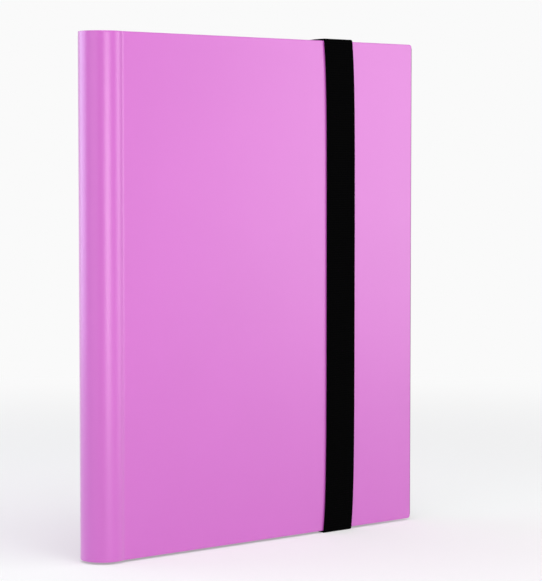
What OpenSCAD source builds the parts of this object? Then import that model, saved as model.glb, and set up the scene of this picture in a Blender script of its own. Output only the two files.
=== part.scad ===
// Trading card binder: pages of side-loading pockets, bound into a flexible
// sheet cover with a rounded spine and held shut by a wide elastic strap.
//
// Millimetres. X runs from the spine to the fore edge, Y goes through the
// thickness with the front cover facing -Y, and Z is up. The origin is at the
// centre of the base. The binder stands closed, with the strap in place.

/* [Covers] */
// Width from the outside of the spine to the fore edge
binder_w = 265; // [262:1:300]
// Height of the covers
cover_h = 320; // [310:1:360]
// Thickness over both closed covers
binder_t = 25; // [25:0.5:27]
// Thickness over the rounded spine
spine_t = 28; // [28:0.5:30]
// Thickness of the cover sheet
sheet_t = 1.5; // [1:0.1:1.6]
// Corner radius of the covers at the fore edge
corner_r = 2; // [1:0.5:10]
// Radius of the hollow that joins the round of the spine to each hinge line
hollow_r = 6; // [5:0.5:7]
// Gap at a hinge line between the spine and a cover
hinge_gap = 0.3; // [0.1:0.1:0.6]

/* [Pages] */
// Number of pages
page_count = 20; // [4:1:20]
// Distance from one closed page to the next
page_pitch = 0.9; // [0.88:0.01:0.92]
// Columns of pockets on a page
pocket_cols = 3; // [1:1:3]
// Rows of pockets on a page
pocket_rows = 3; // [1:1:3]
// Width of one pocket, for cards 63 wide
pocket_w = 67; // [65:0.5:67]
// Height of one pocket, for cards 88 tall
pocket_h = 92; // [90:0.5:93]
// Width of the weld seams around the pockets
seam_w = 3; // [2:0.5:3]
// Thickness of the divider sheet in the middle of a page
divider_t = 0.25; // [0.2:0.01:0.25]
// Thickness of the clear pocket film
film_t = 0.08; // [0.06:0.01:0.08]
// Room for a card between the divider and the film
card_gap = 0.1; // [0.05:0.01:0.1]
// Width of the slit that a pocket is loaded through
slit_w = 0.8; // [0.4:0.1:2]
// Distance from the ends of a slit to the seams above and below it
slit_margin = 3; // [1:0.5:10]
// Bare margin of the divider above and below the pockets
page_margin = 1; // [0.5:0.5:4]
// Bare strip of the divider between its bound edge and the pockets
bind_margin = 11; // [6:0.5:11]
// Radius of the bead along the bound edge of a divider
bead_r = 0.2; // [0.15:0.01:0.2]

/* [Binding strip] */
// Radius of the arched face that the pages are bound to
strip_r = 12; // [12:0.5:13]
// Wall thickness of the strip
strip_t = 1.6; // [1:0.1:2]
// Distance from the middle of the strip to the outside of each leg
leg_y = 10.2; // [9.8:0.1:10.4]
// Thickness of the legs
leg_t = 1.2; // [0.8:0.1:1.6]
// Length of the feet that are welded inside the round of the spine
foot_l = 3; // [2:0.5:4]
// Distance from the middle of the round of the spine to the crest of the arch
crest_x = 14.6; // [14:0.1:15]
// Clearance between the arched face and the page beads
bead_gap = 0.15; // [0.05:0.05:0.3]
// Distance that the strip runs past the pages at each end
strip_over = 1; // [0:0.5:4]

/* [Strap] */
// Width of the elastic strap
strap_w = 25; // [20:1:40]
// Thickness of the strap
strap_t = 1.2; // [0.8:0.1:1.6]
// Distance from the fore edge to the middle of the strap
strap_inset = 65.5; // [30:0.5:120]
// Gap between the strap and the covers
strap_gap = 0.2; // [0.1:0.1:0.4]
// Gap between the front run of the strap and its top and bottom runs
run_gap = 0.3; // [0.1:0.1:0.5]

/* [Strap anchors] */
// Distance from the edge of the back cover to the middle of a strap slot
slot_inset = 12; // [8:1:30]
// Height of a strap slot
slot_h = 1.8; // [1.6:0.1:3]
// Clearance of a slot beside the strap, on each side
slot_side = 0.5; // [0.2:0.1:2]
// Length of the strap tab inside the back cover
tab_l = 20; // [18:1:40]
// Thickness of the pressed tab
tab_t = 0.8; // [0.6:0.1:0.8]
// Height of an anchor plate
plate_h = 14; // [10:1:16]
// Thickness of an anchor plate
plate_t = 0.5; // [0.3:0.1:0.5]
// Distance from the slot to the anchor plate
plate_drop = 4; // [2:0.5:4]
// Distance between the two rivets of an anchor
rivet_pitch = 14; // [8:1:14]
// Radius of the rivet shanks
rivet_r = 1.2; // [0.8:0.1:1.5]
// Clearance around the rivet shanks
rivet_gap = 0.05; // [0:0.01:0.1]
// Radius of the rivet heads on the outside of the back cover
head_r = 3; // [2:0.1:3.5]
// Thickness of the outside heads
head_t = 0.8; // [0.4:0.1:1]
// Radius of the clenched rivet heads inside the back cover
clench_r = 2.2; // [1.8:0.1:3]
// Thickness of the clenched heads
clench_t = 0.4; // [0.2:0.1:0.5]

/* [Hidden] */
$fn = 96;
sliver = 0.01;

// Covers and spine
base_z = strap_gap + strap_t;
mid_z = base_z + cover_h / 2;
panel_y = binder_t / 2;
lining_y = panel_y - sheet_t;
spine_r = spine_t / 2;
spine_bore_r = spine_r - sheet_t;
spine_cx = -binder_w / 2 + spine_r;
// The round runs on past the tangent by hollow_a, and the hollow turns back
hollow_a = acos((panel_y + hollow_r) / (spine_r + hollow_r));
hinge_x = spine_cx + (spine_r + hollow_r) * sin(hollow_a);
panel_x = hinge_x + hinge_gap;
panel_w = binder_w / 2 - panel_x;

// Pages
film_w = pocket_cols * pocket_w + (pocket_cols + 1) * seam_w;
film_h = pocket_rows * pocket_h + (pocket_rows + 1) * seam_w;
page_w = bind_margin + film_w;
page_h = film_h + 2 * page_margin;
page_z = mid_z - page_h / 2;
film_y = divider_t / 2 + card_gap;

// Binding strip: the pages' hinge lines lie on an arc around strip_cx
strip_cx = spine_cx + crest_x - strip_r;
bind_r = strip_r + bead_gap + bead_r;
strip_h = page_h + 2 * strip_over;

// Strap
strap_x = binder_w / 2 - strap_inset;
strap_depth = binder_t + 2 * (strap_gap + strap_t);
strap_h = cover_h + 2 * (strap_gap + strap_t);
slot_z = cover_h / 2 - slot_inset;
plate_z = slot_z - strap_t / 2 - plate_drop - plate_h;
rivet_z = plate_z + plate_h / 2;

cover_colour = [0.87, 0.53, 0.84];
black = [0.05, 0.05, 0.055];
film_colour = [0.92, 0.94, 0.96, 0.3];
steel = [0.78, 0.78, 0.8];

// Node names of page i, counted from the front cover: page_01_divider and so on
function page_node(i, piece) = str("page_", i < 10 ? "0" : "", i, "_", piece);

// Place of the bound edge of page i, on the arc in front of the binding strip
function page_y(i) = page_pitch * (i - (page_count + 1) / 2);
function page_x(i) = strip_cx + sqrt(bind_r * bind_r - page_y(i) * page_y(i));

// Rounded spine: a bulging round, with a hollow on each side down to the covers
module spine_shell() {
    color(cover_colour)
        translate([0, 0, base_z])
            linear_extrude(cover_h) {
                translate([spine_cx, 0])
                    difference() {
                        circle(spine_r);
                        circle(spine_bore_r);
                        polygon([
                            [0, 0],
                            3 * spine_r * [sin(hollow_a), cos(hollow_a)],
                            [4 * spine_r, 0],
                            3 * spine_r * [sin(hollow_a), -cos(hollow_a)]
                        ]);
                    }
                for (side = [0, 1])
                    mirror([0, side]) spine_hollow();
            }
}

module spine_hollow() {
    translate([hinge_x, panel_y + hollow_r])
        intersection() {
            difference() {
                circle(hollow_r + sheet_t);
                circle(hollow_r);
            }
            polygon([
                [0, 0],
                [0, -3 * hollow_r],
                3 * hollow_r * [-sin(hollow_a), -cos(hollow_a)]
            ]);
        }
}

// Flat cover panel from its hinge line to the fore edge. Its outside is at y = 0
// and its inside at y = sheet_t.
module cover_panel() {
    translate([panel_x, sheet_t, base_z])
        rotate([90, 0, 0])
            linear_extrude(sheet_t) {
                square([panel_w - corner_r, cover_h]);
                translate([panel_w - corner_r, corner_r]) square([corner_r, cover_h - 2 * corner_r]);
                for (z = [corner_r, cover_h - corner_r])
                    translate([panel_w - corner_r, z]) circle(corner_r);
            }
}

module front_cover() {
    color(cover_colour)
        translate([0, -panel_y, 0]) cover_panel();
}

// Back panel with a slot and two rivet holes for each end of the strap
module back_cover() {
    color(cover_colour)
        difference() {
            translate([0, lining_y, 0]) cover_panel();
            at_both_ends() {
                translate([strap_x - strap_w / 2 - slot_side, lining_y - 1, slot_z - slot_h / 2])
                    cube([strap_w + 2 * slot_side, sheet_t + 2, slot_h]);
                rivet_holes();
            }
        }
}

// Draws its children at the top of the binder and mirrored at the bottom. They
// measure z from the middle of the cover's height.
module at_both_ends() {
    for (side = [0, 1])
        translate([0, 0, mid_z]) mirror([0, 0, side]) children();
}

module at_rivets() {
    for (dx = [-rivet_pitch / 2, rivet_pitch / 2])
        translate([strap_x + dx, 0, rivet_z]) rotate([-90, 0, 0]) children();
}

module rivet_holes() {
    at_rivets() cylinder(r = rivet_r + rivet_gap, h = binder_t);
}

// Arched strip inside the spine: the pages are bound along its convex face, and
// two legs carry it from feet that are welded inside the round of the spine
module binding_strip() {
    color(black)
        translate([0, 0, mid_z - strip_h / 2])
            linear_extrude(strip_h) {
                translate([strip_cx, 0])
                    intersection() {
                        difference() {
                            circle(strip_r, $fn = 180);
                            circle(strip_r - strip_t, $fn = 180);
                        }
                        translate([0, -leg_y]) square([strip_r, 2 * leg_y]);
                    }
                for (side = [0, 1])
                    mirror([0, side]) strip_leg();
            }
}

module strip_leg() {
    arch_end = strip_cx + sqrt(strip_r * strip_r - leg_y * leg_y);
    translate([spine_cx, leg_y - leg_t]) square([arch_end - sliver - spine_cx, leg_t]);
    translate([spine_cx, 0])
        intersection() {
            circle(spine_bore_r);
            translate([0, leg_y - leg_t]) square([foot_l, spine_bore_r]);
        }
}

// Draws its children in the frame of page i: x from the bound edge, y through the
// page, z from the bottom edge
module on_page(i) {
    translate([page_x(i), page_y(i), page_z]) children();
}

// Opaque sheet in the middle of a page, with a bead along its bound edge
module page_divider(i) {
    color(black)
        on_page(i) {
            cylinder(r = bead_r, h = page_h);
            translate([0, -divider_t / 2, 0]) cube([page_w, divider_t, page_h]);
        }
}

// Clear films on both faces of a page, welded to the divider along the seams
module page_pockets(i) {
    color(film_colour)
        on_page(i)
            for (side = [0, 1])
                mirror([0, side, 0]) translate([bind_margin, 0, page_margin]) {
                    pocket_film();
                    pocket_seams();
                }
}

// One film, slit along the spine side of each pocket, where the cards go in
module pocket_film() {
    difference() {
        translate([0, film_y, 0]) cube([film_w, film_t, film_h]);
        for (col = [0:pocket_cols - 1], row = [0:pocket_rows - 1])
            translate([
                seam_w + col * (pocket_w + seam_w),
                film_y - film_t,
                seam_w + row * (pocket_h + seam_w) + slit_margin
            ])
                cube([slit_w, 3 * film_t, pocket_h - 2 * slit_margin]);
    }
}

// Seams between the divider and a film, around every pocket
module pocket_seams() {
    for (col = [0:pocket_cols])
        translate([col * (pocket_w + seam_w), divider_t / 2, 0]) cube([seam_w, card_gap, film_h]);
    for (row = [0:pocket_rows])
        translate([0, divider_t / 2, row * (pocket_h + seam_w)]) cube([film_w, card_gap, seam_w]);
}

// Strap along the front cover, the part that is pulled off to open the binder
module strap_front_run() {
    color(black)
        translate([strap_x - strap_w / 2, -strap_depth / 2, strap_t + run_gap])
            cube([strap_w, strap_t, strap_h - 2 * (strap_t + run_gap)]);
}

// Strap across the top or the bottom edges of the covers
module strap_edge_run(z) {
    color(black)
        translate([strap_x - strap_w / 2, -strap_depth / 2, z])
            cube([strap_w, strap_depth, strap_t]);
}

// Each end of the strap goes down the back cover, through its slot and behind an
// anchor plate
module strap_ends() {
    color(black)
        at_both_ends()
            difference() {
                translate([strap_x - strap_w / 2, 0, 0]) strap_end();
                rivet_holes();
            }
}

module strap_end() {
    outside_y = panel_y + strap_gap;
    below_slot = slot_z - strap_t / 2;
    tab_y = lining_y - tab_t;
    translate([0, outside_y, below_slot])
        cube([strap_w, strap_t, strap_h / 2 - strap_t - below_slot]);
    translate([0, tab_y, below_slot]) cube([strap_w, outside_y + strap_t - tab_y, strap_t]);
    translate([0, tab_y, below_slot - tab_l]) cube([strap_w, tab_t, tab_l + strap_t]);
}

// Plates that clamp the strap tabs to the inside of the back cover
module strap_anchor_plates() {
    color([0.12, 0.12, 0.13])
        at_both_ends()
            difference() {
                translate([strap_x - strap_w / 2, lining_y - tab_t - plate_t, plate_z])
                    cube([strap_w, plate_t, plate_h]);
                rivet_holes();
            }
}

// Low round head of radius r and height h, standing on z = 0
module dome(r, h) {
    ball_r = (r * r + h * h) / (2 * h);
    intersection() {
        translate([0, 0, h - ball_r]) sphere(ball_r);
        cylinder(r = r + 1, h = h + 1);
    }
}

// Two rivets for each anchor, from the clenched head inside to the outside head
module strap_rivets() {
    inside_y = lining_y - tab_t - plate_t;
    color(steel)
        at_both_ends() at_rivets() {
            translate([0, 0, inside_y]) cylinder(r = rivet_r, h = panel_y - inside_y);
            translate([0, 0, inside_y]) mirror([0, 0, 1]) dome(clench_r, clench_t);
            translate([0, 0, panel_y]) dome(head_r, head_t);
        }
}

spine_shell();
front_cover();
back_cover();
binding_strip();
for (i = [1:page_count]) {
    page_divider(i);
    page_pockets(i);
}
strap_front_run();
strap_edge_run(strap_h - strap_t);  // strap_top_run
strap_edge_run(0);  // strap_bottom_run
strap_ends();
strap_anchor_plates();
strap_rivets();
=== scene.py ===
"""Trading card binder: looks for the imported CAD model. Metres, in the model's own frame."""
import math

import bmesh
import bpy
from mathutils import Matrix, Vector


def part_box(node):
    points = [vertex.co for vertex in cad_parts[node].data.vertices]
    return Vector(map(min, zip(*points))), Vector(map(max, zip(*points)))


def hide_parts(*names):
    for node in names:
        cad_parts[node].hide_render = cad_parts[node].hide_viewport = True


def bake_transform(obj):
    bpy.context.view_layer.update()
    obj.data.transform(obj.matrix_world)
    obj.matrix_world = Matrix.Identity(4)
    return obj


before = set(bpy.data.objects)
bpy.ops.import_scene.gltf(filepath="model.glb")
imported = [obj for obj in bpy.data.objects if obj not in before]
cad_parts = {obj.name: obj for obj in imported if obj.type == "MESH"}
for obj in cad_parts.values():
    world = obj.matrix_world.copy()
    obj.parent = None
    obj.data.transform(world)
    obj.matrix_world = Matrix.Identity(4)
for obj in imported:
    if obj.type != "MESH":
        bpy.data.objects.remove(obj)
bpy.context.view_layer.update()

MM = 0.001

# Places taken from the CAD nodes
SPINE_LO, SPINE_HI = (Vector(c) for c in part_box("spine_shell"))
PANEL_LO, PANEL_HI = (Vector(c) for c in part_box("front_cover"))
RUN_LO, RUN_HI = (Vector(c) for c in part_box("strap_front_run"))
TOP_HI = Vector(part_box("strap_top_run")[1])
ENDS_HI = Vector(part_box("strap_ends")[1])
PLATES_HI = Vector(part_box("strap_anchor_plates")[1])

# Cover sheet: a round spine, a hollow that turns back at each side of it, then a flat panel
SPINE_R = (SPINE_HI.y - SPINE_LO.y) / 2
PANEL_Y = -PANEL_LO.y
HOLLOW_R = 6 * MM
HOLLOW_A = math.acos((PANEL_Y + HOLLOW_R) / (SPINE_R + HOLLOW_R))
HINGE_X = SPINE_HI.x
SPINE_X = HINGE_X - (SPINE_R + HOLLOW_R) * math.sin(HOLLOW_A)
FORE_X = PANEL_HI.x
BEND = 3 * MM  # the seam sits this length short of a hinge line, and close columns run from it to this length past the line
BASE_Z, TOP_Z = PANEL_LO.z, PANEL_HI.z
MID_Z = (BASE_Z + TOP_Z) / 2
SHEET_T = PANEL_HI.y - PANEL_LO.y
CORNER_R = 2 * MM
EDGE_R = 0.35 * MM
SMOOTH_ANGLE = math.radians(40)

# Elastic strap
STRAP_T = RUN_HI.y - RUN_LO.y
STRAP_W = RUN_HI.x - RUN_LO.x
STRAP_X = (RUN_LO.x + RUN_HI.x) / 2
STRAP_Y = -(RUN_LO.y + RUN_HI.y) / 2
STRAP_TOP = TOP_HI.z - STRAP_T / 2
TAB_L = 32 * MM
TAB_PRESSED = 0.66  # thickness share where the anchor plates squeeze the ends
FOLD_R, STRAP_STEP = 0.7 * MM, 3 * MM
PULL, PULL_REACH = -2.7 * MM, 24 * MM
RIBS, POINTS_PER_RIB, RIB_LOW = 14, 4, 0.88
SELVEDGE, SELVEDGE_REACH, SELVEDGE_T = 1.1 * MM, 0.9, 0.97

# Slots in the back cover for the strap's ends
SLOT_INSET = 12 * MM
SLOT_H = 1.8 * MM
SLOT_SIDE = 0.5 * MM
SLOT_R = 0.6 * MM

# Studio and camera, fitted to the photo
WHITE = (0.956, 0.956, 0.956)
LENS = 138.55
CAMERA_PLACE = (-0.9354, -1.0820, 0.2443)
CAMERA_TURN, CAMERA_DIP = math.radians(41.375), math.radians(3.344)


def new_object(name, mesh, material):
    mesh.materials.append(material)
    piece = bpy.data.objects.new(name, mesh)
    bpy.context.scene.collection.objects.link(piece)
    return piece


# Materials -----------------------------------------------------------------

class Shader:
    """A material with one Principled shader and short calls for its other nodes.

    Sockets are given by name, with an underscore for each space.
    """

    def __init__(self, name, **sockets):
        self.material = bpy.data.materials.new(name)
        self.material.use_nodes = True
        self.tree = self.material.node_tree
        self.bsdf = self.tree.nodes["Principled BSDF"]
        for key, value in sockets.items():
            self.bsdf.inputs[key.replace("_", " ")].default_value = value
        self.place = self.node("ShaderNodeTexCoord")

    def node(self, kind, inputs=(), **settings):
        made = self.tree.nodes.new(kind)
        for key, value in settings.items():
            setattr(made, key, value)
        for key, value in dict(inputs).items():
            if hasattr(value, "is_output"):
                self.tree.links.new(value, made.inputs[key])
            else:
                made.inputs[key].default_value = value
        return made

    def scaled(self, scale):
        inputs = {"Vector": self.place.outputs["Object"], "Scale": scale}
        return self.node("ShaderNodeMapping", inputs).outputs["Vector"]

    def noise(self, scale, detail, stretch=(1, 1, 1), roughness=0.5):
        inputs = {"Vector": self.scaled(stretch), "Scale": scale, "Detail": detail,
                  "Roughness": roughness}
        return self.node("ShaderNodeTexNoise", inputs).outputs["Fac"]

    def ramp(self, factor, *stops):
        made = self.node("ShaderNodeValToRGB", {"Fac": factor})
        elements = made.color_ramp.elements
        while len(elements) < len(stops):
            elements.new(0.5)
        for element, (position, colour) in zip(elements, stops):
            element.position = position
            element.color = (*colour, 1)
        return made.outputs["Color"]

    def span(self, factor, low, high):
        inputs = {"Value": factor, "To Min": low, "To Max": high}
        return self.node("ShaderNodeMapRange", inputs).outputs["Result"]

    def math(self, operation, a, b):
        return self.node("ShaderNodeMath", {0: a, 1: b}, operation=operation).outputs["Value"]

    def bump(self, height, distance, strength, after=None):
        inputs = {"Height": height, "Distance": distance, "Strength": strength}
        if after is not None:
            inputs["Normal"] = after
        return self.node("ShaderNodeBump", inputs).outputs["Normal"]

    def link(self, output, socket):
        self.tree.links.new(output, self.bsdf.inputs[socket])


def shades(colour, *factors):
    return [tuple(channel * factor for channel in colour) for factor in factors]


def cover_material():
    """Satin polypropylene sheet: fine pebble, faint flow marks and handling haze."""
    made = Shader("orchid_pp_sheet", Roughness=0.36, IOR=1.49, Coat_Weight=0.9, Coat_Roughness=0.3)
    dark, light = shades((0.566, 0.113, 0.522), 0.985, 1.015)
    tint = made.ramp(made.noise(9, 3), (0.35, dark), (0.65, light))
    made.link(tint, "Base Color")
    haze = made.noise(38, 4, stretch=(1, 1, 0.35), roughness=0.6)
    made.link(made.span(haze, 0.33, 0.41), "Roughness")
    pebble = made.bump(made.noise(1500, 2), 0.02 * MM, 0.35)
    made.link(made.bump(made.noise(55, 2), 0.05 * MM, 0.25, pebble), "Normal")
    return made.material


def strap_material():
    """Woven elastic: rows of weft across the strap, twisted yarns along it and dull fuzz."""
    made = Shader("black_woven_elastic", Roughness=0.95, IOR=1.45, Sheen_Weight=0.004,
                  Sheen_Roughness=0.5, Specular_IOR_Level=0.015)
    uv = made.place.outputs["UV"]
    weft_inputs = {"Vector": uv, "Scale": 210, "Distortion": 0.6, "Detail": 1, "Detail Scale": 3}
    weft = made.node("ShaderNodeTexWave", weft_inputs, bands_direction="Y").outputs["Fac"]
    warp_inputs = {"Vector": uv, "Scale": 420, "Distortion": 0.8, "Detail": 1, "Detail Scale": 4}
    warp = made.node("ShaderNodeTexWave", warp_inputs, bands_direction="X").outputs["Fac"]
    weave = made.math("MULTIPLY", weft, warp)
    # Painted shade: the colour is darkest in the gaps of the weave and lightest on its raised
    # crowns.
    shaded_gap, side, lit_crown = (0.0005, 0.0005, 0.0006), (0.0012, 0.0012, 0.0013), (0.003, 0.003, 0.0032)
    made.link(made.ramp(weave, (0.0, shaded_gap), (0.5, side), (1.0, lit_crown)), "Base Color")
    fuzz = made.bump(made.noise(5200, 2), 0.04 * MM, 0.5)
    made.link(made.bump(weave, 0.14 * MM, 0.8, fuzz), "Normal")
    return made.material


def film_material():
    """Clear soft film: slack waves, a light haze and glossy faces."""
    made = Shader("clear_pocket_film", Roughness=0.1, IOR=1.5, Transmission_Weight=1.0,
                  Coat_Weight=0.5, Coat_Roughness=0.08)
    tint = made.ramp(made.noise(14, 2), (0.3, (0.9, 0.92, 0.94)), (0.7, (0.96, 0.97, 0.98)))
    made.link(tint, "Base Color")
    made.link(made.span(made.noise(60, 3), 0.06, 0.2), "Roughness")
    slack = made.noise(26, 2, stretch=(1, 1, 0.6))
    made.link(made.bump(slack, 1.2 * MM, 0.35), "Normal")
    return made.material


def divider_material():
    """Black sheet in the pages: leather-like calender grain, slightly dusty."""
    made = Shader("black_page_sheet", Roughness=0.55, IOR=1.49)
    dark, dusty = (0.010, 0.010, 0.011), (0.020, 0.020, 0.022)
    made.link(made.ramp(made.noise(24, 4), (0.3, dark), (0.7, dusty)), "Base Color")
    made.link(made.span(made.noise(90, 3), 0.46, 0.62), "Roughness")
    cell_inputs = {"Vector": made.scaled((1, 1, 1)), "Scale": 1100}
    cells = made.node("ShaderNodeTexVoronoi", cell_inputs).outputs["Distance"]
    made.link(made.bump(cells, 0.06 * MM, 0.5), "Normal")
    return made.material


def strip_material():
    """Black extruded binding strip: fine draw lines along its length."""
    made = Shader("black_extruded_strip", Roughness=0.48, IOR=1.49)
    dark, light = (0.012, 0.012, 0.013), (0.022, 0.022, 0.024)
    made.link(made.ramp(made.noise(30, 3), (0.3, dark), (0.7, light)), "Base Color")
    draw = made.noise(900, 2, stretch=(1, 1, 0.01))
    made.link(made.span(draw, 0.4, 0.56), "Roughness")
    made.link(made.bump(draw, 0.05 * MM, 0.5), "Normal")
    return made.material


def plate_material():
    """Moulded anchor plate: fine spark-eroded texture."""
    made = Shader("black_moulded_plate", Roughness=0.6, IOR=1.49)
    grain = made.noise(2600, 3)
    dark, light = (0.016, 0.016, 0.017), (0.028, 0.028, 0.03)
    made.link(made.ramp(grain, (0.3, dark), (0.7, light)), "Base Color")
    made.link(made.bump(grain, 0.05 * MM, 0.6), "Normal")
    return made.material


def rivet_material():
    """Nickel-plated rivets with fine turning marks and light tarnish."""
    made = Shader("nickel_rivet", Metallic=1.0, Roughness=0.28)
    tarnish = made.noise(420, 4)
    dull, bright = (0.50, 0.49, 0.47), (0.70, 0.69, 0.67)
    made.link(made.ramp(tarnish, (0.3, dull), (0.75, bright)), "Base Color")
    made.link(made.span(made.noise(900, 2), 0.2, 0.38), "Roughness")
    made.link(made.bump(made.noise(3000, 2), 0.01 * MM, 0.4), "Normal")
    return made.material


# Cover sheet ---------------------------------------------------------------

# Lengths along the sheet from the middle of the spine: to the end of the round, to the hinge
# line, to the fore edge, and to the seam, which is on the round, BEND short of the hinge line
ROUND_L = SPINE_R * (math.pi / 2 + HOLLOW_A)
HINGE_L = ROUND_L + HOLLOW_R * HOLLOW_A
SHEET_L = HINGE_L + FORE_X - HINGE_X
SEAM_L = SPINE_R * (math.pi / 2 + math.asin((HINGE_X - BEND - SPINE_X) / SPINE_R))


def front_profile(u):
    """Outer face and its normal at length u from the middle of the spine: round, hollow, flat.

    Lengths above zero run on to the front cover, and lengths below zero on to the back cover.
    """
    side = 1 if u < 0 else -1
    u = abs(u)
    if u < ROUND_L:
        angle = u / SPINE_R
        normal = Vector((-math.cos(angle), side * math.sin(angle), 0))
        return Vector((SPINE_X, 0, 0)) + normal * SPINE_R, normal
    if u < HINGE_L:
        angle = HOLLOW_A - (u - ROUND_L) / HOLLOW_R
        normal = Vector((math.sin(angle), side * math.cos(angle), 0))
        return Vector((HINGE_X, side * (PANEL_Y + HOLLOW_R), 0)) - normal * HOLLOW_R, normal
    return Vector((HINGE_X + u - HINGE_L, side * PANEL_Y, 0)), Vector((0, side, 0))


def back_profile(u):
    return front_profile(-u)


def steps(start, stop, size):
    """Evenly spaced places from start up to stop, without stop itself, about size apart."""
    count = max(1, round((stop - start) / size))
    return [start + (stop - start) * i / count for i in range(count)]


def cover_columns():
    """Column places on a cover: close at the hinge, wide on the flat and an arc at the corner."""
    corner = SHEET_L - CORNER_R
    turn = [corner + CORNER_R * math.sin(math.radians(a)) for a in range(0, 100, 10)]
    bend_end = HINGE_L + BEND
    close, wide = 0.4 * MM, 9 * MM
    return steps(SEAM_L, bend_end, close) + steps(bend_end, corner, wide) + turn


def sheet_rows():
    """Row places from 0 to 1, with a row close to each end that holds the edge's shape."""
    height = TOP_Z - BASE_Z
    near, wide = 1.2 * MM, 10 * MM
    inner = steps(near, height - near, wide) + [height - near]
    return [0] + [z / height for z in inner] + [1]


def cover_sheet(name, path, columns, material):
    """A sheet along path, SHEET_T thick, with rounded fore-edge corners and soft edges.

    The edge at the first column stays square: it is the seam where the two sheets meet.
    """
    rows = sheet_rows()
    last = len(rows) - 1
    bm = bmesh.new()
    faces = []
    for depth in (0, SHEET_T):
        grid = []
        for u in columns:
            place, normal = path(u)
            into_corner = max(0.0, u - (SHEET_L - CORNER_R))
            cut = CORNER_R - math.sqrt(max(0.0, CORNER_R ** 2 - into_corner ** 2))
            low, high = BASE_Z + cut, TOP_Z - cut
            foot = place - normal * depth
            grid.append([bm.verts.new((foot.x, foot.y, low + (high - low) * f)) for f in rows])
        faces.append(grid)
    outer, inner = faces
    for i in range(len(columns) - 1):
        for j in range(last):
            bm.faces.new((outer[i][j], outer[i + 1][j], outer[i + 1][j + 1], outer[i][j + 1]))
            bm.faces.new((inner[i][j], inner[i][j + 1], inner[i + 1][j + 1], inner[i + 1][j]))
    fore = len(columns) - 1
    rim = [(i, 0) for i in range(fore + 1)] + [(fore, j) for j in range(1, last + 1)]
    rim += [(i, last) for i in range(fore - 1, -1, -1)]
    for (i, j), (k, m) in zip(rim, rim[1:]):
        bm.faces.new((outer[i][j], inner[i][j], inner[k][m], outer[k][m]))
    for j in range(last):
        bm.faces.new((outer[0][j], outer[0][j + 1], inner[0][j + 1], inner[0][j]))
    bmesh.ops.recalc_face_normals(bm, faces=bm.faces)
    soft = []
    for grid in (outer, inner):
        soft += [bm.edges.get((grid[i][j], grid[k][m])) for (i, j), (k, m) in zip(rim, rim[1:])]
    bmesh.ops.bevel(bm, geom=soft, offset=EDGE_R, segments=3, profile=0.5, affect="EDGES")
    mesh = bpy.data.meshes.new(name)
    bm.to_mesh(mesh)
    bm.free()
    finish_shading(mesh)
    return new_object(name, mesh, material)


def finish_shading(mesh):
    mesh.polygons.foreach_set("use_smooth", [True] * len(mesh.polygons))
    mesh.set_sharp_from_angle(angle=SMOOTH_ANGLE)
    mesh.update()


def cut_strap_slots(panel):
    """Cuts the two slots that the strap's ends pass through."""
    cutters = bpy.data.meshes.new("slot_cutters")
    bm = bmesh.new()
    for side in (-1, 1):
        z = MID_Z + side * ((TOP_Z - BASE_Z) / 2 - SLOT_INSET)
        made = bmesh.ops.create_cube(bm, size=1)["verts"]
        bmesh.ops.scale(bm, verts=made, vec=(STRAP_W + 2 * SLOT_SIDE, 4 * SHEET_T, SLOT_H))
        bmesh.ops.translate(bm, verts=made, vec=(STRAP_X, PANEL_Y - SHEET_T / 2, z))
        through = [e for e in {e for v in made for e in v.link_edges}
                   if abs((e.verts[0].co - e.verts[1].co).y) > SHEET_T]
        bmesh.ops.bevel(bm, geom=through, offset=SLOT_R, segments=4, profile=0.5, affect="EDGES")
    bm.to_mesh(cutters)
    bm.free()
    cutter = bpy.data.objects.new("slot_cutters", cutters)
    bpy.context.scene.collection.objects.link(cutter)
    cut = panel.modifiers.new("slots", "BOOLEAN")
    cut.operation = "DIFFERENCE"
    cut.solver = "EXACT"
    cut.object = cutter
    apply_modifiers(panel)
    bpy.data.objects.remove(cutter)
    finish_shading(panel.data)


def apply_modifiers(piece):
    """Replaces the piece's mesh with what its modifiers make of it."""
    bpy.context.view_layer.update()
    evaluated = piece.evaluated_get(bpy.context.evaluated_depsgraph_get())
    mesh = bpy.data.meshes.new_from_object(evaluated)
    piece.modifiers.clear()
    piece.data = mesh


def make_covers(material):
    """The spine and front cover as one sheet, and the back cover as one that meets it."""
    columns, spine_step = cover_columns(), 1 * MM
    front_columns = steps(-SEAM_L, SEAM_L, spine_step) + columns
    front = cover_sheet("cover_front_skin", front_profile, front_columns, material)
    back = cover_sheet("cover_back_skin", back_profile, columns, material)
    cut_strap_slots(back)
    for piece, side, body in ((front, -1, "front_cover"), (back, 1, "back_cover")):
        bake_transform(piece)
    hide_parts("spine_shell", "front_cover")
    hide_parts("back_cover")


# Strap ---------------------------------------------------------------------

def rounded(points, radius, turn_steps=6):
    """The polyline through points with each corner turned on an arc."""
    path = [Vector(points[0])]
    for before, corner, after in zip(points, points[1:], points[2:]):
        corner = Vector(corner)
        back, on = (Vector(before) - corner).normalized(), (Vector(after) - corner).normalized()
        centre = corner + (back + on) * radius
        for i in range(turn_steps + 1):
            angle = math.pi / 2 * i / turn_steps
            path.append(centre - on * radius * math.cos(angle) - back * radius * math.sin(angle))
    return path + [Vector(points[-1])]


def filled(path, size):
    """The path with extra points, no further apart than size."""
    out = [path[0]]
    for a, b in zip(path, path[1:]):
        count = max(1, math.ceil((b - a).length / size))
        out += [a + (b - a) * (i / count) for i in range(1, count + 1)]
    return out


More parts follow.
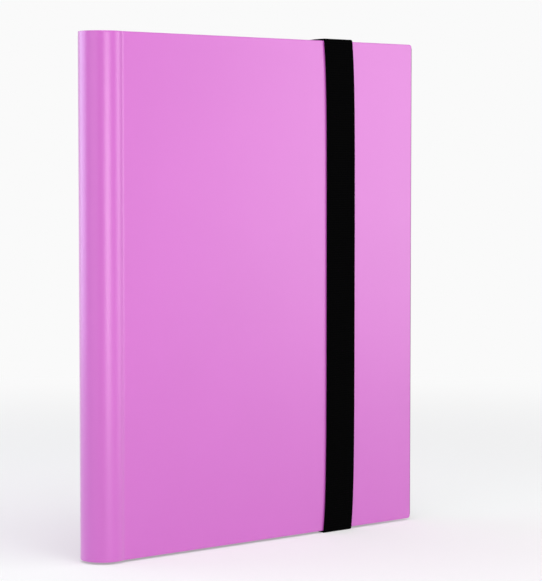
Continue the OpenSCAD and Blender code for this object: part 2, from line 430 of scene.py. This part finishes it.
def strap_path():
    """Middle of the strap in the Y-Z plane, from the top tab round the covers to the bottom tab."""
    tab_y = (PLATES_HI.y + PANEL_Y - SHEET_T) / 2
    slot = (TOP_Z - BASE_Z) / 2 - SLOT_INSET
    bottom = 2 * MID_Z - STRAP_TOP
    half = [(tab_y, ENDS_HI.z - TAB_L), (tab_y, MID_Z + slot),
            (STRAP_Y, MID_Z + slot), (STRAP_Y, STRAP_TOP)]
    other = [(y, 2 * MID_Z - z) for y, z in reversed(half)]
    front = [(-STRAP_Y, STRAP_TOP), (-STRAP_Y, bottom)]
    return filled(rounded(half + front + other, FOLD_R), STRAP_STEP)


def strap_shift(y, z):
    """Sideways pull of the strap: its ends are drawn towards the spine over the front edges."""
    from_edge = min(STRAP_TOP - z, z - (2 * MID_Z - STRAP_TOP))
    across = (STRAP_Y - y) / (2 * STRAP_Y)
    return PULL * across * math.exp(-from_edge / PULL_REACH)


def strap_section():
    """Across the strap: place and half-thickness share for each point of one face."""
    half = STRAP_W / 2
    count = RIBS * POINTS_PER_RIB
    ribbed = []
    for i in range(count + 1):
        s = -half + SELVEDGE + (STRAP_W - 2 * SELVEDGE) * i / count
        ridge = 0.5 - 0.5 * math.cos(2 * math.pi * i / POINTS_PER_RIB)
        ribbed.append((s, RIB_LOW + (1 - RIB_LOW) * ridge))
    left = []
    for share in (0.0, 0.35, 0.7, 0.9):
        fullness = math.sqrt(1 - (1 - share) ** 2)
        left.append((-half + SELVEDGE * share * SELVEDGE_REACH, fullness * SELVEDGE_T))
    right = [(-s, fullness) for s, fullness in reversed(left)]
    return left + ribbed + right


def make_strap(material):
    """The strap's section swept along its path, with texture places across and along it."""
    path = strap_path()
    section = strap_section()
    tab_y = path[0].x
    bm = bmesh.new()
    uv_layer = bm.loops.layers.uv.new("UVMap")
    rings, lengths, total = [], [], 0.0
    for i, point in enumerate(path):
        before, after = path[max(0, i - 1)], path[min(len(path) - 1, i + 1)]
        along = (after - before).normalized()
        out = Vector((along.y, -along.x))
        total += (point - path[i - 1]).length if i else 0.0
        lengths.append(total)
        free = min(1.0, max(0.0, (point.x - tab_y) / (STRAP_Y - tab_y))) if point.x > 0 else 1.0
        thick = STRAP_T / 2 * (TAB_PRESSED + (1 - TAB_PRESSED) * free)
        shift = strap_shift(point.x, point.y)
        ring = []
        for face in (1, -1):
            ordered = section if face == 1 else reversed(section[1:-1])
            for s, share in ordered:
                spot = point + out * (face * thick * share)
                ring.append((bm.verts.new((STRAP_X + shift + s, spot.x, spot.y)), s))
        rings.append(ring)
    size = len(rings[0])
    for i in range(len(rings) - 1):
        for k in range(size):
            m = (k + 1) % size
            corners = [(rings[i][k], i), (rings[i][m], i),
                       (rings[i + 1][m], i + 1), (rings[i + 1][k], i + 1)]
            face = bm.faces.new([vert for (vert, _), _ in corners])
            for loop, ((_, s), ring_no) in zip(face.loops, corners):
                loop[uv_layer].uv = (s, lengths[ring_no])
    for ring in (rings[0], rings[-1]):
        bm.faces.new([vert for vert, _ in ring])
    bmesh.ops.recalc_face_normals(bm, faces=bm.faces)
    mesh = bpy.data.meshes.new("elastic_strap")
    bm.to_mesh(mesh)
    bm.free()
    finish_shading(mesh)
    strap = new_object("elastic_strap", mesh, material)
    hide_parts("strap_front_run", "strap_top_run", "strap_bottom_run", "strap_ends")
    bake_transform(strap)


# CAD pieces that keep their shape ------------------------------------------

def dress(part, material):
    """Gives material to every CAD node whose name is part or ends with it."""
    for name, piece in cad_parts.items():
        if name.endswith(part):
            piece.data.materials.clear()
            piece.data.materials.append(material)


# Stage ---------------------------------------------------------------------

def make_stage():
    """A pale floor that glows, which is painted light: an emitted white makes up a share of it near
    the binder and all of it away from the binder, where it fades to the backdrop's white.
    """
    fade_from, fade_to = 0.35, 1.1
    least_glow = 0.35
    made = Shader("pale_floor", Roughness=0.9, Specular_IOR_Level=0.1,
                  Base_Color=(0.9, 0.9, 0.9, 1))
    # Painted light: the floor's own glow, a 0.35 share of its colour near the binder and all of it
    # further out.
    glow = made.node("ShaderNodeEmission", {"Color": (*WHITE, 1), "Strength": 1.0})
    middle_out = {0: made.place.outputs["Object"]}
    spread = made.node("ShaderNodeVectorMath", middle_out, operation="LENGTH").outputs["Value"]
    fade_inputs = {"Value": spread, "From Min": fade_from, "From Max": fade_to}
    far = made.node("ShaderNodeMapRange", fade_inputs, interpolation_type="SMOOTHSTEP")
    share = made.span(far.outputs["Result"], least_glow, 1.0)
    mix = made.node("ShaderNodeMixShader", {0: share, 1: made.bsdf.outputs[0], 2: glow.outputs[0]})
    made.tree.links.new(mix.outputs[0], made.tree.nodes["Material Output"].inputs["Surface"])
    mesh = bpy.data.meshes.new("floor")
    bm = bmesh.new()
    bmesh.ops.create_circle(bm, cap_ends=True, segments=96, radius=30)
    bm.to_mesh(mesh)
    bm.free()
    floor = new_object("floor", mesh, made.material)


def area_light(name, place, target, size, power, colour=(1, 1, 1)):
    """A rectangular light at place that faces target and that the camera doesn't see."""
    data = bpy.data.lights.new(name, "AREA")
    data.shape = "RECTANGLE"
    data.size, data.size_y = size
    data.energy = power
    data.color = colour
    lamp = bpy.data.objects.new(name, data)
    lamp.location = place
    lamp.rotation_euler = (Vector(target) - Vector(place)).to_track_quat("-Z", "Y").to_euler()
    lamp.visible_camera = False
    bpy.context.scene.collection.objects.link(lamp)


def make_world():
    """A white backdrop for the camera, and for all other rays a room that is dim in front of the
    binder and brighter behind it."""
    world = bpy.data.worlds.new("studio")
    bpy.context.scene.world = world
    world.use_nodes = True
    tree = world.node_tree
    backdrop = tree.nodes["Background"]
    backdrop.inputs["Color"].default_value = (*WHITE, 1)
    room = tree.nodes.new("ShaderNodeBackground")
    room.inputs["Color"].default_value = (*WHITE, 1)
    direction = tree.nodes.new("ShaderNodeTexCoord")
    split = tree.nodes.new("ShaderNodeSeparateXYZ")
    fade = tree.nodes.new("ShaderNodeMapRange")
    front_strength, back_strength = 0.4, 0.8
    for key, value in (("From Min", 0.1), ("From Max", 0.7),
                       ("To Min", front_strength), ("To Max", back_strength)):
        fade.inputs[key].default_value = value
    rays = tree.nodes.new("ShaderNodeLightPath")
    mix = tree.nodes.new("ShaderNodeMixShader")
    tree.links.new(direction.outputs["Generated"], split.inputs[0])
    tree.links.new(split.outputs["Y"], fade.inputs["Value"])
    tree.links.new(fade.outputs["Result"], room.inputs["Strength"])
    tree.links.new(rays.outputs["Is Camera Ray"], mix.inputs[0])
    tree.links.new(room.outputs[0], mix.inputs[1])
    tree.links.new(backdrop.outputs[0], mix.inputs[2])
    tree.links.new(mix.outputs[0], tree.nodes["World Output"].inputs["Surface"])


def make_lights():
    """A tall softbox on the right for the covers, a small one for the round of the spine, a wide
    fill on the left, a cool light behind for the spine's far edge, and a top fill."""
    middle = (0, 0, 0.16)
    spine = (-0.118, 0, 0.15)
    area_light("key", (1.13, -0.93, 0.12), middle, size=(0.6, 1.3), power=6.4)
    area_light("strip", (-0.25, -0.894, 0.22), spine, size=(0.4, 0.4), power=2.2)
    area_light("left_fill", (-1.65, -0.4, 0.55), spine, size=(1.2, 1.2), power=3.8)
    area_light("rim", (-0.95, 1.2, 0.45), spine, size=(1.3, 0.9), power=9.0,
               colour=(0.72, 0.82, 1.0))
    area_light("top", (-0.2, -0.7, 1.9), middle, size=(1.5, 1.5), power=20)


def make_camera():
    """Long lens in front on the spine side, above the middle and looking slightly down."""
    data = bpy.data.cameras.new("camera")
    data.lens = LENS
    data.clip_end = 100
    camera = bpy.data.objects.new("camera", data)
    camera.location = CAMERA_PLACE
    camera.rotation_euler = (math.pi / 2 - CAMERA_DIP, 0, -CAMERA_TURN)
    bpy.context.scene.collection.objects.link(camera)
    bpy.context.scene.camera = camera


bpy.context.scene.view_settings.view_transform = "Standard"
make_camera()
make_world()
make_lights()
make_stage()
make_covers(cover_material())
make_strap(strap_material())
dress("_divider", divider_material())
dress("_pockets", film_material())
dress("binding_strip", strip_material())
dress("strap_anchor_plates", plate_material())
dress("strap_rivets", rivet_material())
